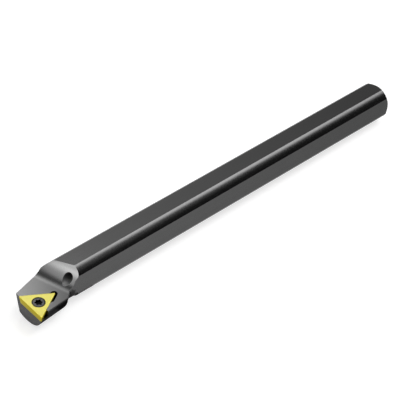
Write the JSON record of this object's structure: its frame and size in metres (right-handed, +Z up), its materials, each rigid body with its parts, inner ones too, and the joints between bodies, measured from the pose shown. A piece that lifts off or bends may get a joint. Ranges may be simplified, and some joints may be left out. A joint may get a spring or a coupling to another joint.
{
  "type": "boring bar",
  "caption": "Straight round boring bar with side flats, a stepped head, a screw-clamped triangular indexable insert and an internal coolant way.",
  "frame": {"origin": "centre of the rear end face, on the axis of the shank", "axes": "+X along the shank to the cutting end, +Y to the side that the cutting nose reaches out to, +Z up, the side that the insert's top faces; the cutting nose is at Z = 0"},
  "size_m": [0.16, 0.015, 0.0126],
  "materials": {
    "steel_bar": "dark satin",
    "coated_carbide": "smooth yellow coating",
    "screw_steel": "black oxide"
  },
  "bodies": {
    "root": {"bar_body": "steel_bar", "cutting_insert": "coated_carbide", "insert_screw": "screw_steel"}
  },
  "joints": []
}
